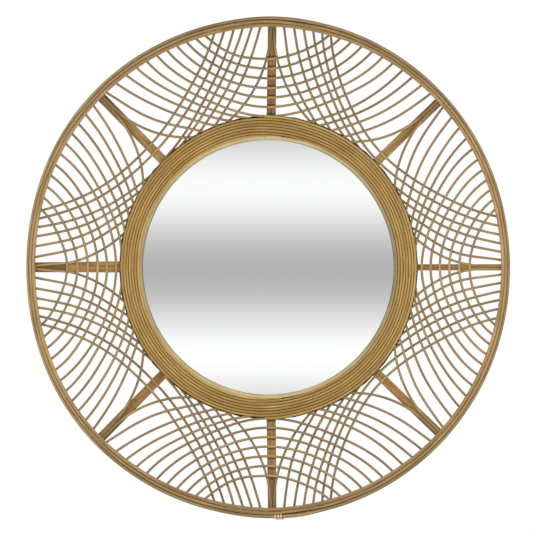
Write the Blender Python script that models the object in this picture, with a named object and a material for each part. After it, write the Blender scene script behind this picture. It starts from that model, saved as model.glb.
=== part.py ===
"""Round wall mirror of bent rattan, 0.8 m across, in metres.

A flat glass lies on a round board under a pale trim ring and a coiled ring of rattan. Eight slats carry an
outer ring of hoops, and eight fans of arched rods fill the space between, four in front and four behind them.
Everything is laid out flat, x to the right and y up, with its height above the wall as z. The empty
"wall" then stands it up: the wall plane is y = 0 and the mirror faces -y, with its centre at the origin.
"""

import math

import bmesh
import bpy
from mathutils import Vector

# Clearance between pieces that touch
GAP = 0.0003

# Points closer than this are one point, and edges sharper than this aren't shaded smooth
MERGE = 0.000001
SHARP_FROM = math.radians(50)

# The ring is a little taller than wide, and the more so the further out
OVAL_AT_GLASS = 0.0060
OVAL_AT_RIM = 0.0175
OVAL_FROM = 0.2016
OVAL_TO = 0.3936

# Board, glass and trim, which lie a little to the right in the ring, as the coil does
INNER_SHIFT = 0.0011
BOARD_RADIUS = 0.2420
BOARD_THICKNESS = 0.0060
GLASS_RADIUS = 0.2055
GLASS_THICKNESS = 0.0030
TRIM_INNER = 0.2020
TRIM_OUTER = 0.2078
TRIM_TOP = 0.0215
INNER_SIDES = 36

# Rods and hoops
ROD = 0.0039
OUTER_SIDES = 44
HOOP_IN_RADIUS = 0.3817
HOOP_IN = 0.0060
HOOP_MID_RADIUS = 0.3873
HOOP_MID = 0.0045
RIM_RADIUS = 0.3922
RIM_HOOP = 0.0044
BACK_HOOP_RADIUS = 0.3854
BACK_HOOP = 0.0044

# The coil: closed loops that lie one place further out on the left side than on the right. They change place
# between two angles from the top, and again at the bottom, as in a mirror. A half strand inside them fills the
# left side, one outside them fills the right side, and both reach a share of one side past top and bottom.
COIL_LOOPS = 6
COIL_ROD = 0.0041
COIL_FIRST = 0.2102
COIL_PITCH = 0.00445
COIL_CHANGE = (-15.0, 20.0)
INNER_STRAND_PAST = 0.56
OUTER_STRAND_PAST = 0.17

# Heights above the wall
GLASS_BACK = BOARD_THICKNESS + GAP
SLAT_BACK = BOARD_THICKNESS + GAP
SLAT_THICKNESS = 0.0030
REAR_LAYER = SLAT_BACK + SLAT_THICKNESS + GAP + BACK_HOOP / 2
FRONT_LAYER = REAR_LAYER + BACK_HOOP / 2 + GAP + ROD / 2
OVER_RODS = FRONT_LAYER + ROD / 2 + GAP

# Slats: angle, shift sideways and width
SLAT_START = 0.2070
SLAT_END = 0.3890
TOP_SLAT_SHIFT = 0.0069
SLATS = {
    "right": (0.0, 0.0, 0.0100),
    "upper_right": (44.1, 0.0, 0.0140),
    "top": (90.0, TOP_SLAT_SHIFT, 0.0140),
    "upper_left": (134.4, 0.0, 0.0152),
    "left": (180.0, 0.0, 0.0165),
    "lower_left": (225.6, 0.0, 0.0152),
    "bottom": (270.0, TOP_SLAT_SHIFT, 0.0140),
    "lower_right": (315.9, 0.0, 0.0140),
}

# Every rod of a fan is an arc with its centre on the fan's axis. It meets the outer ring at RODS_OUTER, at the
# angle "outer" from the axis. The first "whole" rods cross the axis at "crossing" and run on to the far side,
# and the others go under the coiled ring at the angle "inner". The rods are bent by hand, so each bows off its
# arc halfway, inwards where the bow is positive: "whole_bow", "half_bow", and "odd_bows" for rods that stray.
# The angles, crossings and bows are a start, a step and a change of step. The last rod of a side lies along a
# slat and bends away from it: "bend" is its slat, where it starts to bend, and its angle at the coiled ring.
RODS_OUTER = 0.3800
RODS_INNER = 0.2408
TUCK = 0.0100
BESIDE_SLAT_LINE = ROD / 2 + GAP
MOST_SAG = 0.0017
SIDE_OF_RIGHT = {
    "outer": (14.22, 2.342, 0.048),
    "inner": (11.17, 5.61, 0.03),
    "half": 4,
    "whole_bow": (-0.0010, -0.0008, 0.0),
    "half_bow": (-0.0010, 0.0010, 0.0),
    "odd_bows": {8: -0.0012, 9: 0.0012, 10: 0.0009},
}
SIDE_OF_LEFT = {
    "outer": (14.33, 2.846, 0.0),
    "inner": (9.27, 6.7, -0.41),
    "half": 5,
    "whole_bow": (-0.0025, 0.0004, -0.00007),
    "half_bow": (-0.0042, 0.0027, -0.0004),
    "odd_bows": {1: -0.0012, 4: -0.0034, 9: -0.0010},
}
FANS = {
    "right": {
        "axis": 0.0,
        "crossing": (0.3272, -0.0173, 0.00031),
        "whole": 7,
        1: {**SIDE_OF_RIGHT, "bend": ("upper_right", 0.359, 32.25)},
        -1: {**SIDE_OF_RIGHT, "bend": ("lower_right", 0.359, 32.25)},
    },
    "top": {
        "axis": 90.0,
        "crossing": (0.3293, -0.0153, 0.00006),
        "whole": 7,
        1: {
            "outer": (15.32, 2.2, 0.054),
            "inner": (9.0, 6.0, -0.13),
            "half": 4,
            "whole_bow": (0.0027, -0.0009, -0.0001),
            "half_bow": (-0.0026, 0.0012, 0.0002),
            "odd_bows": {1: -0.0013, 9: -0.0011, 10: 0.0014},
            "bend": ("upper_left", 0.3604, 30.7),
        },
        -1: {
            "outer": (14.92, 2.66, 0.016),
            "inner": (15.9, 4.23, 0.2),
            "half": 4,
            "whole_bow": (-0.0015, 0.0006, -0.0002),
            "half_bow": (0.0006, 0.0005, 0.0),
            "odd_bows": {1: -0.0016},
            "bend": ("upper_right", 0.354, 33.7),
        },
    },
    "left": {
        "axis": 180.0,
        "crossing": (0.3257, -0.0177, 0.00031),
        "whole": 6,
        1: {**SIDE_OF_LEFT, "bend": ("lower_left", 0.3545, 33.85)},
        -1: {**SIDE_OF_LEFT, "bend": ("upper_left", 0.3545, 33.85)},
    },
    "upper_right": {
        "axis": 45.0,
        "crossing": (0.2580, -0.0131, 0.0),
        "whole": 2,
        1: {
            "outer": (29.84, 2.07, 0.039),
            "inner": (8.0, 6.69, -0.19),
            "half": 4,
            "whole_bow": (-0.0036, 0.0005, 0.0),
            "half_bow": (-0.0037, 0.0035, -0.0005),
            "odd_bows": {0: 0.0013, 5: 0.0017},
            "bend": ("top", 0.378, 28.4),
        },
        -1: {
            "outer": (32.38, 2.34, -0.034),
            "inner": (11.9, 6.8, -0.31),
            "half": 4,
            "whole_bow": (-0.0030, 0.0004, 0.0),
            "half_bow": (0.0009, 0.0005, 0.0005),
            "odd_bows": {},
            "bend": ("right", 0.354, 33.0),
        },
    },
    "upper_left": {
        "axis": 135.0,
        "crossing": (0.2716, -0.0132, 0.0),
        "whole": 2,
        1: {
            "outer": (30.95, 1.9, 0.082),
            "inner": (8.7, 6.7, -0.26),
            "half": 4,
            "whole_bow": (0.0023, 0.0002, 0.0),
            "half_bow": (0.0013, 0.0021, -0.0003),
            "odd_bows": {},
            "bend": ("left", 0.3664, 32.4),
        },
        -1: {
            "outer": (32.22, 2.39, -0.036),
            "inner": (3.7, 7.2, -0.08),
            "half": 4,
            "whole_bow": (-0.0022, 0.0012, 0.0),
            "half_bow": (-0.0037, 0.0028, -0.0003),
            "odd_bows": {},
            "bend": ("top", 0.381, 30.0),
        },
    },
}

# Cane binding round the rim hoop, beside the foot of the bottom slat
BINDING_X = 0.0170
BINDING_LENGTH = 0.0150
BINDING_INNER = 0.0050
BINDING_OUTER = 0.0064

COLOURS = {
    "rattan": (0.36, 0.22, 0.09),
    "rattan_light": (0.52, 0.37, 0.17),
    "cane": (0.72, 0.58, 0.34),
    "stained_wood": (0.05, 0.03, 0.015),
    "mirror_glass": (0.85, 0.87, 0.88),
}


def clear_scene():
    for old in list(bpy.data.objects):
        bpy.data.objects.remove(old, do_unlink=True)


def make_material(name, colour, roughness, metallic=0.0):
    material = bpy.data.materials.new(name)
    material.use_nodes = True
    shader = material.node_tree.nodes["Principled BSDF"]
    shader.inputs["Base Color"].default_value = (*colour, 1.0)
    shader.inputs["Roughness"].default_value = roughness
    shader.inputs["Metallic"].default_value = metallic
    return material


def polar(radius, angle):
    """A flat point, by radius and angle in radians, before the ring is drawn oval."""
    return radius * math.cos(angle), radius * math.sin(angle)


def oval(x, y):
    """The point where it lies on the real, slightly oval ring."""
    radius = math.hypot(x, y)
    along = (radius - OVAL_FROM) / (OVAL_TO - OVAL_FROM)
    amount = OVAL_AT_GLASS + along * (OVAL_AT_RIM - OVAL_AT_GLASS)
    stretch = 1.0 - amount * math.cos(2.0 * math.atan2(y, x))
    return x * stretch, y * stretch


def turned(x, y, angle):
    return x * math.cos(angle) - y * math.sin(angle), x * math.sin(angle) + y * math.cos(angle)


def oval_ring(radius, sides):
    return [oval(*polar(radius, math.tau * i / sides)) for i in range(sides)]


def inner_point(radius, angle):
    x, y = oval(*polar(radius, angle))
    return Vector((x + INNER_SHIFT, y))


def inner_ring(radius):
    return [inner_point(radius, math.tau * i / INNER_SIDES) for i in range(INNER_SIDES)]


def coil_place(angle):
    """How many places further out a loop lies at this angle than on the right: 0 there and 1 on the left."""
    x, y = polar(1.0, angle)
    left, right = COIL_CHANGE
    along = (right - math.degrees(math.atan2(x, abs(y)))) / (right - left)
    along = min(1.0, max(0.0, along))
    return along * along * (3.0 - 2.0 * along)


def coil_strand(number, angles):
    """The centre line of the loop with this number, counted from the trim on the right side."""
    return [inner_point(COIL_FIRST + COIL_PITCH * (number + coil_place(a)), a) for a in angles]


def half_round(side):
    """Angles round one side, 1 for the right and -1 for the left, and one step past the top and the bottom."""
    return [math.tau * (0.25 - side * i / INNER_SIDES) for i in range(-1, INNER_SIDES // 2 + 2)]


def cut_short(values, share):
    """The same points or numbers with the first and the last step cut to a share of their length."""
    start = values[1] + (values[0] - values[1]) * share
    end = values[-2] + (values[-1] - values[-2]) * share
    return [start, *values[1:-1], end]


def real_mesh(obj, name):
    """The object's evaluated shape as a plain mesh with its doubled points merged, in place of the object."""
    graph = bpy.context.evaluated_depsgraph_get()
    mesh = bpy.data.meshes.new_from_object(obj.evaluated_get(graph))
    bpy.data.objects.remove(obj, do_unlink=True)
    shape = bmesh.new()
    shape.from_mesh(mesh)
    bmesh.ops.remove_doubles(shape, verts=shape.verts, dist=MERGE)
    bmesh.ops.recalc_face_normals(shape, faces=shape.faces)
    shape.to_mesh(mesh)
    shape.free()
    mesh.name = name
    return mesh


def curve_object(name, dimensions):
    curve = bpy.data.curves.new(name, "CURVE")
    curve.dimensions = dimensions
    obj = bpy.data.objects.new(name, curve)
    bpy.context.scene.collection.objects.link(obj)
    return obj


def add_spline(curve, points, closed, tilt=0.0, widths=None):
    spline = curve.splines.new("POLY")
    spline.points.add(len(points) - 1)
    for point, place in zip(spline.points, points):
        point.co = (*place, 1.0)
        point.tilt = tilt
    for point, width in zip(spline.points, widths or []):
        point.radius = width
    spline.use_cyclic_u = closed


def strands(name, paths, diameter, height, closed=False, flat_sided=False, widths=None):
    """Four-sided rods along flat paths, all at one height, in one mesh. "widths" are shares of the diameter."""
    obj = curve_object(name, "3D")
    curve = obj.data
    curve.twist_mode = "Z_UP"
    curve.bevel_resolution = 0
    curve.use_fill_caps = not closed
    # A square bar stands on its flat side, so its corners are further out than its sides
    curve.bevel_depth = diameter / 2 * (math.sqrt(2) if flat_sided else 1.0)
    for path in paths:
        points = [(x, y, height) for x, y in path]
        add_spline(curve, points, closed, math.radians(45) if flat_sided else 0.0, widths)
    return real_mesh(obj, name)


def plate(name, outlines, back, thickness):
    """A flat plate: the first outline is its edge and the others are holes."""
    obj = curve_object(name, "2D")
    curve = obj.data
    curve.fill_mode = "BOTH"
    curve.extrude = thickness / 2
    for outline in outlines:
        add_spline(curve, [(x, y, 0.0) for x, y in outline], True)
    mesh = real_mesh(obj, name)
    for point in mesh.vertices:
        point.co.z += back + thickness / 2
    return mesh


def arc_steps(radius, turn):
    """How many straight pieces keep an arc's chords within the sag allowed."""
    step = 2.0 * math.acos(1.0 - MOST_SAG / radius)
    return max(2, math.ceil(abs(turn) / step))


def series(terms, step):
    start, change, bow = terms
    return start + change * step + bow * step * step


def angle_on(centre, radius, ring):
    """The arc angle, from the fan's axis, at which an arc round a centre on the axis meets a ring."""
    x = (centre * centre + ring * ring - radius * radius) / (2.0 * centre)
    y = math.sqrt(max(0.0, ring * ring - x * x))
    return math.atan2(y, centre - x)


def rod_circle(outer, ring, inner):
    """Centre and radius of the arc through the outer ring at one angle and another ring at a second."""
    x_outer, y_outer = polar(RODS_OUTER, outer)
    x_inner, y_inner = polar(ring, inner)
    centre = (RODS_OUTER**2 - ring**2) / (2.0 * (x_outer - x_inner))
    return centre, math.hypot(x_outer - centre, y_outer), math.atan2(y_inner, centre - x_inner)


def rod_bow(fan, side, number):
    """How far a rod bows off its arc halfway."""
    terms = fan[side]
    if number < fan["whole"]:
        bow = series(terms["whole_bow"], number)
    else:
        bow = series(terms["half_bow"], number - fan["whole"])
    return bow + terms["odd_bows"].get(number, 0.0)


def arc_points(centre, radius, turns, bowed, bow):
    """Points of an arc between two turns. It bows off its circle between the two turns in "bowed"."""
    start, end = turns
    first, last = bowed
    steps = arc_steps(radius, end - start)
    points = []
    for i in range(steps + 1):
        turn = start + (end - start) * i / steps
        share = min(1.0, max(0.0, (turn - first) / (last - first)))
        reach = radius + bow * (1.0 - math.cos(math.tau * share)) / 2
        points.append((centre - reach * math.cos(turn), reach * math.sin(turn)))
    return points


def whole_rod(fan, number, end_ring):
    crossing = series(fan["crossing"], number)
    halves = []
    for side in (1, -1):
        outer = math.radians(series(fan[side]["outer"], number))
        centre, radius, middle = rod_circle(outer, crossing, 0.0)
        turns = (middle, angle_on(centre, radius, end_ring))
        bowed = (middle, angle_on(centre, radius, RODS_OUTER))
        arc = arc_points(centre, radius, turns, bowed, rod_bow(fan, side, number))
        halves.append([(x, side * y) for x, y in arc])
    return halves[0][:0:-1] + halves[1]


def half_rod(fan, side, number, end_ring):
    terms = fan[side]
    outer = math.radians(series(terms["outer"], number))
    inner = math.radians(series(terms["inner"], number - fan["whole"]))
    centre, radius, start = rod_circle(outer, RODS_INNER, inner)
    turns = (start - TUCK / radius, angle_on(centre, radius, end_ring))
    bowed = (start, angle_on(centre, radius, RODS_OUTER))
    arc = arc_points(centre, radius, turns, bowed, rod_bow(fan, side, number))
    return [(x, side * y) for x, y in arc]


def bent_rod(fan, side, end_ring):
    """The last rod of a side, straight along its slat and then bent away to the coiled ring."""
    slat, bend_from, inner = fan[side]["bend"]
    angle, shift, _ = SLATS[slat]
    axis = math.radians(fan["axis"])
    angle = math.radians(angle)
    beside = -side * BESIDE_SLAT_LINE
    x, y = polar(RODS_INNER, axis + side * math.radians(inner))
    along, across = turned(x - shift, y, -angle)
    run = bend_from - along
    rise = across - beside
    radius = (run * run + rise * rise) / (2.0 * rise)
    turn = math.asin(run / radius)
    steps = arc_steps(abs(radius), turn)
    end = turn + math.copysign(TUCK / abs(radius), turn)
    turns = [end * i / steps for i in range(steps + 1)]
    line = [(bend_from - radius * math.sin(t), beside + radius * (1.0 - math.cos(t))) for t in turns]
    if end_ring > bend_from + ROD:
        line.insert(0, (math.sqrt(end_ring**2 - shift**2), beside))
    points = [turned(u, v, angle) for u, v in line]
    return [turned(x + shift, y, -axis) for x, y in points]


def fan_rods(fan, end_ring):
    """Every rod of a fan as a flat path on the real ring."""
    paths = [whole_rod(fan, number, end_ring) for number in range(fan["whole"])]
    for side in (1, -1):
        last = fan["whole"] + fan[side]["half"]
        paths += [half_rod(fan, side, number, end_ring) for number in range(fan["whole"], last)]
        paths.append(bent_rod(fan, side, end_ring))
    axis = math.radians(fan["axis"])
    return [[oval(*turned(x, y, axis)) for x, y in path] for path in paths]


def slat_direction(slat, radius):
    """The angle at which a slat's centre line meets a ring."""
    angle, shift, _ = SLATS[slat]
    x, y = turned(math.sqrt(radius**2 - shift**2), 0.0, math.radians(angle))
    return math.atan2(y, x + shift)


def quarter_hoop(fan, radius):
    """A hoop from slat to slat round a fan, a little short at each end so that two quarters don't meet."""
    seam = GAP / radius
    start = slat_direction(fan[-1]["bend"][0], radius) + seam
    end = slat_direction(fan[1]["bend"][0], radius) - seam
    if end < start:
        end += math.tau
    steps = OUTER_SIDES // 4
    return [oval(*polar(radius, start + (end - start) * i / steps)) for i in range(steps + 1)]


def fused(name, mesh, other):
    """The union of two meshes."""
    scene = bpy.context.scene.collection
    base = bpy.data.objects.new(name, mesh)
    joined = bpy.data.objects.new(name + "_joined", other)
    scene.objects.link(base)
    scene.objects.link(joined)
    union = base.modifiers.new("union", "BOOLEAN")
    union.operation = "UNION"
    union.solver = "EXACT"
    union.object = joined
    result = real_mesh(base, name)
    bpy.data.objects.remove(joined, do_unlink=True)
    return result


def fan_mesh(name, fan, radius, diameter, height, below=False):
    """A fan's rods and the quarter hoop that their ends are fixed to. "below" mirrors an upper fan down."""
    fold = -1.0 if below else 1.0
    hoop = [(x, fold * y) for x, y in quarter_hoop(fan, radius)]
    rods = [[(x, fold * y) for x, y in path] for path in fan_rods(fan, radius)]
    hoop_mesh = strands(name + "_hoop", [hoop], diameter, height, flat_sided=True)
    return fused(name, hoop_mesh, strands(name + "_rods", rods, ROD, height))


def slat_mesh(name, angle, shift, width):
    turn = math.radians(angle)
    outline = []
    for along, across in ((SLAT_START, -1), (SLAT_END, -1), (SLAT_END, 1), (SLAT_START, 1)):
        x, y = turned(along, across * width / 2, turn)
        outline.append(oval(x + shift, y))
    return plate(name, [outline], SLAT_BACK, SLAT_THICKNESS)


def square(across):
    """Four corners round the origin, this far across the flats."""
    half = across / 2
    return [(half, half), (-half, half), (-half, -half), (half, -half)]


def place_on(path, x):
    """The point of a flat path at this x, and the path's direction there."""
    for (x0, y0), (x1, y1) in zip(path, path[1:]):
        if min(x0, x1) <= x < max(x0, x1):
            return (x, y0 + (y1 - y0) * (x - x0) / (x1 - x0)), math.atan2(y1 - y0, x1 - x0)
    raise ValueError("the path doesn't pass this x")


def add_object(name, mesh, material, wall, collection):
    obj = bpy.data.objects.new(name, mesh)
    collection.objects.link(obj)
    mesh.materials.clear()
    mesh.materials.append(material)
    mesh.shade_smooth()
    mesh.set_sharp_from_angle(angle=SHARP_FROM)
    obj.parent = wall
    return obj


def main():
    clear_scene()
    collection = bpy.data.collections.new("rattan_wall_mirror")
    bpy.context.scene.collection.children.link(collection)
    wall = bpy.data.objects.new("wall", None)
    wall.rotation_euler = (math.radians(90), 0.0, 0.0)
    collection.objects.link(wall)

    rattan = make_material("rattan", COLOURS["rattan"], 0.55)
    light = make_material("rattan_light", COLOURS["rattan_light"], 0.5)
    cane = make_material("cane", COLOURS["cane"], 0.5)
    board = make_material("stained_wood", COLOURS["stained_wood"], 0.7)
    glass = make_material("mirror_glass", COLOURS["mirror_glass"], 0.02, 1.0)

    def add(name, mesh, material):
        return add_object(name, mesh, material, wall, collection)

    # Board, glass and the ring that holds the glass
    trim_edges = [inner_ring(TRIM_OUTER), inner_ring(TRIM_INNER)]
    trim_back = GLASS_BACK + GLASS_THICKNESS + GAP
    add("backing_board", plate("backing_board", [inner_ring(BOARD_RADIUS)], 0.0, BOARD_THICKNESS), board)
    add("mirror_glass", plate("mirror_glass", [inner_ring(GLASS_RADIUS)], GLASS_BACK, GLASS_THICKNESS), glass)
    add("trim_ring", plate("trim_ring", trim_edges, trim_back, TRIM_TOP - trim_back), light)

    # Slats
    for side, (angle, shift, width) in SLATS.items():
        name = "spoke_" + side
        add(name, slat_mesh(name, angle, shift, width), rattan)

    # Coil over the inner rod ends
    coil_height = OVER_RODS + COIL_ROD / 2
    all_round = [math.tau * i / INNER_SIDES for i in range(INNER_SIDES)]
    for number in range(COIL_LOOPS):
        name = f"coil_loop_{number + 1}"
        loop = coil_strand(number, all_round)
        add(name, strands(name, [loop], COIL_ROD, coil_height, closed=True), rattan)
    path = cut_short(coil_strand(COIL_LOOPS, half_round(1)), OUTER_STRAND_PAST)
    add("coil_outer_strand", strands("coil_outer_strand", [path], COIL_ROD, coil_height), rattan)

    # The inner half strand lies against the trim and tapers off where the first loop moves in
    left_side = half_round(-1)
    rooms = [COIL_ROD - COIL_PITCH * (1.0 - coil_place(a)) for a in left_side]
    path = [inner_point(COIL_FIRST - (COIL_ROD - room) / 2, a) for room, a in zip(rooms, left_side)]
    path = cut_short(path, INNER_STRAND_PAST)
    widths = cut_short([room / COIL_ROD for room in rooms], INNER_STRAND_PAST)
    inner = strands("coil_inner_strand", [path], COIL_ROD, coil_height, widths=widths)
    add("coil_inner_strand", inner, rattan)

    # Outer hoops over the outer rod ends
    for name, radius, diameter in (
        ("outer_hoop_inner", HOOP_IN_RADIUS, HOOP_IN),
        ("outer_hoop_middle", HOOP_MID_RADIUS, HOOP_MID),
    ):
        ring = oval_ring(radius, OUTER_SIDES)
        add(name, strands(name, [ring], diameter, OVER_RODS + diameter / 2, closed=True), rattan)

    # Fans of rods, the front four with the rim hoop and the rear four with the back hoop
    for name, fan, below in (
        ("right", "right", False),
        ("top", "top", False),
        ("left", "left", False),
        ("bottom", "top", True),
    ):
        name = "front_fan_" + name
        mesh = fan_mesh(name, FANS[fan], RIM_RADIUS, RIM_HOOP, FRONT_LAYER, below)
        add(name, mesh, rattan)
    for name, fan, below in (
        ("upper_right", "upper_right", False),
        ("upper_left", "upper_left", False),
        ("lower_left", "upper_left", True),
        ("lower_right", "upper_right", True),
    ):
        name = "rear_fan_" + name
        mesh = fan_mesh(name, FANS[fan], BACK_HOOP_RADIUS, BACK_HOOP, REAR_LAYER, below)
        add(name, mesh, rattan)

    # Cane binding, a short sleeve round the lowest stretch of the rim hoop
    (x, y), direction = place_on(quarter_hoop(FANS["top"], RIM_RADIUS), BINDING_X)
    outlines = [square(BINDING_OUTER), square(BINDING_INNER)]
    sleeve = plate("cane_binding", outlines, -BINDING_LENGTH / 2, BINDING_LENGTH)
    binding = add("cane_binding", sleeve, cane)
    binding.location = (x, -y, FRONT_LAYER)
    binding.rotation_euler = (0.0, math.radians(90), -direction)


main()
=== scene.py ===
# Round wall mirror of bent rattan: the looks, built round the solid frame.
# Metres, +Z up. The wall is the plane y = 0 and the mirror faces -Y, so a height above the wall is -y.
import math

import bmesh
import bpy
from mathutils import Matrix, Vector


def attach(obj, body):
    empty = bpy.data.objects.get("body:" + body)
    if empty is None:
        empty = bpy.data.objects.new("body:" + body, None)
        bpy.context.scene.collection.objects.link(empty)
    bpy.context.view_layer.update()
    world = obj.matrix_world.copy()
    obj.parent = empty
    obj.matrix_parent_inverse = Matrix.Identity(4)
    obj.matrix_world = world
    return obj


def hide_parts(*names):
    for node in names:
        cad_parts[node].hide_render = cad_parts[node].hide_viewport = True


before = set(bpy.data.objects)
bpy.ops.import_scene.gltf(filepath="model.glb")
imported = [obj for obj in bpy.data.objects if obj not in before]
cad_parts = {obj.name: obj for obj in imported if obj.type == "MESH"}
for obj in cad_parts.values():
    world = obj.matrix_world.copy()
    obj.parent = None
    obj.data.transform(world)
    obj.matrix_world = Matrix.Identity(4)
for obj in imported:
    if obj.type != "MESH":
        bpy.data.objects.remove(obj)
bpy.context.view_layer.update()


# Small tools

def linear(hexText):  # sRGB hex to linear red, green, blue
    values = [int(hexText[i:i + 2], 16) / 255 for i in (1, 3, 5)]
    return [v / 12.92 if v <= 0.04045 else ((v + 0.055) / 1.055) ** 2.4 for v in values]


def rgba(hexText):
    return (*linear(hexText), 1.0)


def addNode(tree, kind, inputs=None, **settings):
    node = tree.nodes.new(kind)
    for setting, value in settings.items():
        setattr(node, setting, value)
    for socket, value in (inputs or {}).items():
        if isinstance(value, bpy.types.NodeSocket):
            tree.links.new(value, node.inputs[socket])
        else:
            node.inputs[socket].default_value = value
    return node


def setRamp(node, stops):
    ramp = node.color_ramp
    while len(ramp.elements) < len(stops):
        ramp.elements.new(0.5)
    for element, (place, colour) in zip(ramp.elements, stops):
        element.position = place
        element.color = rgba(colour)


def newObject(name, data):
    obj = bpy.data.objects.new(name, data)
    bpy.context.scene.collection.objects.link(obj)
    return obj


# A point of the flat layout, x to the right and y up, at a height above the wall
def standUp(x, y, height):
    return Vector((x, -height, y))


# The ring is a little taller than wide, the more so the further out
ringShape = {
    "ovalAtGlass": 0.0060,
    "ovalAtRim": 0.0175,
    "glass": 0.2016,         # radii at which those two hold
    "rim": 0.3936,
    "innerShift": 0.0011,    # the coil sits this much to the right
}


def polar(radius, angle):
    return radius * math.cos(angle), radius * math.sin(angle)


def turned(x, y, angle):
    return x * math.cos(angle) - y * math.sin(angle), x * math.sin(angle) + y * math.cos(angle)


def oval(x, y, amount=None):
    if amount is None:
        along = (math.hypot(x, y) - ringShape["glass"]) / (ringShape["rim"] - ringShape["glass"])
        amount = ringShape["ovalAtGlass"] + along * (ringShape["ovalAtRim"] - ringShape["ovalAtGlass"])
    stretch = 1 - amount * math.cos(2 * math.atan2(y, x))
    return x * stretch, y * stretch


# Rattan core: the inside of the vine, drawn round and stained, so it shows long fibres and no knots
rattanLook = {
    "fibreLength": 0.045,         # how far one streak runs
    "fibreWidth": 0.0007,         # real pores are about 0.3 mm, drawn coarser so that they show
    "fibreDetail": 4.0,
    "fibreRoughness": 0.6,
    "colourStops": (0.30, 0.52, 0.72),
    "patchLength": 0.11,          # stretches where the stain took better
    "patchDetail": 3.0,
    "patchRoughness": 0.55,
    "patchEdges": (0.42, 0.68),
    "brightness": (0.86, 1.12),   # from the darkest rod to the palest
    "roughnessChange": (0.10, -0.08),
    "bump": 0.00012,
    "bumpStrength": 0.7,
}
sectionUnit = 0.002    # metres to one unit of the attribute "around", about a rod's radius


# The attribute "along" is the way run along the fibres, "around" the place in the section, and "tint" tells
# one rod from the next. The fourth attribute is the share by which a place is darker, from stain on some
# pieces and from painted shade on others, or paler where it is below zero.
def rattanFinish(name, dark, middle, light, stained, patchShare=0.55, roughness=0.52, fibreWidth=None):
    material = bpy.data.materials.new(name)
    material.use_nodes = True
    tree = material.node_tree
    shader = tree.nodes["Principled BSDF"]
    along = addNode(tree, "ShaderNodeAttribute", attribute_name="along")
    around = addNode(tree, "ShaderNodeAttribute", attribute_name="around")
    tint = addNode(tree, "ShaderNodeAttribute", attribute_name="tint")
    across = addNode(tree, "ShaderNodeVectorMath", {0: around.outputs["Vector"]}, operation="SCALE")
    across.inputs["Scale"].default_value = sectionUnit / 2 / (fibreWidth or rattanLook["fibreWidth"])
    sides = addNode(tree, "ShaderNodeSeparateXYZ", {0: across.outputs[0]})
    length = addNode(tree, "ShaderNodeMath", {0: along.outputs["Fac"], 1: 1 / rattanLook["fibreLength"]},
                     operation="MULTIPLY")
    place = addNode(tree, "ShaderNodeCombineXYZ",
                    {0: length.outputs[0], 1: sides.outputs["X"], 2: sides.outputs["Y"]})
    fibres = addNode(tree, "ShaderNodeTexNoise",
                     {"Vector": place.outputs[0], "Scale": 1.0, "Detail": rattanLook["fibreDetail"],
                      "Roughness": rattanLook["fibreRoughness"]})
    body = addNode(tree, "ShaderNodeValToRGB", {0: fibres.outputs[0]})
    setRamp(body, list(zip(rattanLook["colourStops"], (dark, middle, light))))
    patchPlace = addNode(tree, "ShaderNodeMath",
                         {0: along.outputs["Fac"], 1: 1 / rattanLook["patchLength"]}, operation="MULTIPLY")
    patchVector = addNode(tree, "ShaderNodeCombineXYZ", {0: patchPlace.outputs[0], 1: tint.outputs["Fac"]})
    patches = addNode(tree, "ShaderNodeTexNoise",
                      {"Vector": patchVector.outputs[0], "Scale": 1.0, "Detail": rattanLook["patchDetail"],
                       "Roughness": rattanLook["patchRoughness"]})
    patchStart, patchFull = rattanLook["patchEdges"]
    patchAmount = addNode(tree, "ShaderNodeMapRange",
                          {"Value": patches.outputs[0], "From Min": patchStart, "From Max": patchFull,
                           "To Min": 0.0, "To Max": patchShare})
    colour = addNode(tree, "ShaderNodeMix", {0: patchAmount.outputs[0], 6: body.outputs[0], 7: rgba(stained)},
                     data_type="RGBA")
    darkest, palest = rattanLook["brightness"]
    bright = addNode(tree, "ShaderNodeMapRange",
                     {"Value": tint.outputs["Fac"], "From Min": 0.0, "From Max": 1.0,
                      "To Min": darkest, "To Max": palest})
    stainAndShade = addNode(tree, "ShaderNodeAttribute", attribute_name="stainAndShade")
    left = addNode(tree, "ShaderNodeMath", {0: 1.0, 1: stainAndShade.outputs["Fac"]}, operation="SUBTRACT")
    shade = addNode(tree, "ShaderNodeMath", {0: bright.outputs[0], 1: left.outputs[0]}, operation="MULTIPLY")
    varied = addNode(tree, "ShaderNodeHueSaturation", {"Value": shade.outputs[0], "Color": colour.outputs[2]})
    tree.links.new(varied.outputs[0], shader.inputs["Base Color"])
    rougher, smoother = rattanLook["roughnessChange"]
    rough = addNode(tree, "ShaderNodeMapRange",
                    {"Value": fibres.outputs[0], "From Min": 0.3, "From Max": 0.7,
                     "To Min": roughness + rougher, "To Max": roughness + smoother})
    tree.links.new(rough.outputs[0], shader.inputs["Roughness"])
    bump = addNode(tree, "ShaderNodeBump",
                   {"Height": fibres.outputs[0], "Strength": rattanLook["bumpStrength"],
                    "Distance": rattanLook["bump"]})
    tree.links.new(bump.outputs[0], shader.inputs["Normal"])
    shader.inputs["IOR"].default_value = 1.5    # wood fibre under a thin lacquer
    return material


# Thin rods took a greyer honey brown, with fine streaks
rodRattan = rattanFinish("honeyStainedRattanRod", "#776341", "#9B845A", "#B69F74", "#8E7251")
# The coil is the most golden part
coilRattan = rattanFinish("honeyStainedRattanCoil", "#8A6A36", "#B09154", "#CBAC6E", "#9A7547")
# The thick outer hoops are a warm light brown
hoopRattan = rattanFinish("honeyStainedRattanHoop", "#866940", "#AC8F61", "#C7A878", "#957150")
# Slats are split from thick cane: broad streaks, and a deeper brown on the flat faces
slatRattan = rattanFinish("brownStainedRattanSlat", "#765730", "#9E7C49", "#BC985F", "#8A623C",
                          fibreWidth=0.0022)
# The trim is nearly natural and looks cream beside the coil
trimRattan = rattanFinish("paleRattanTrim", "#A8945F", "#C7B587", "#DCCDA2", "#B99F70", patchShare=0.4)
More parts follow.
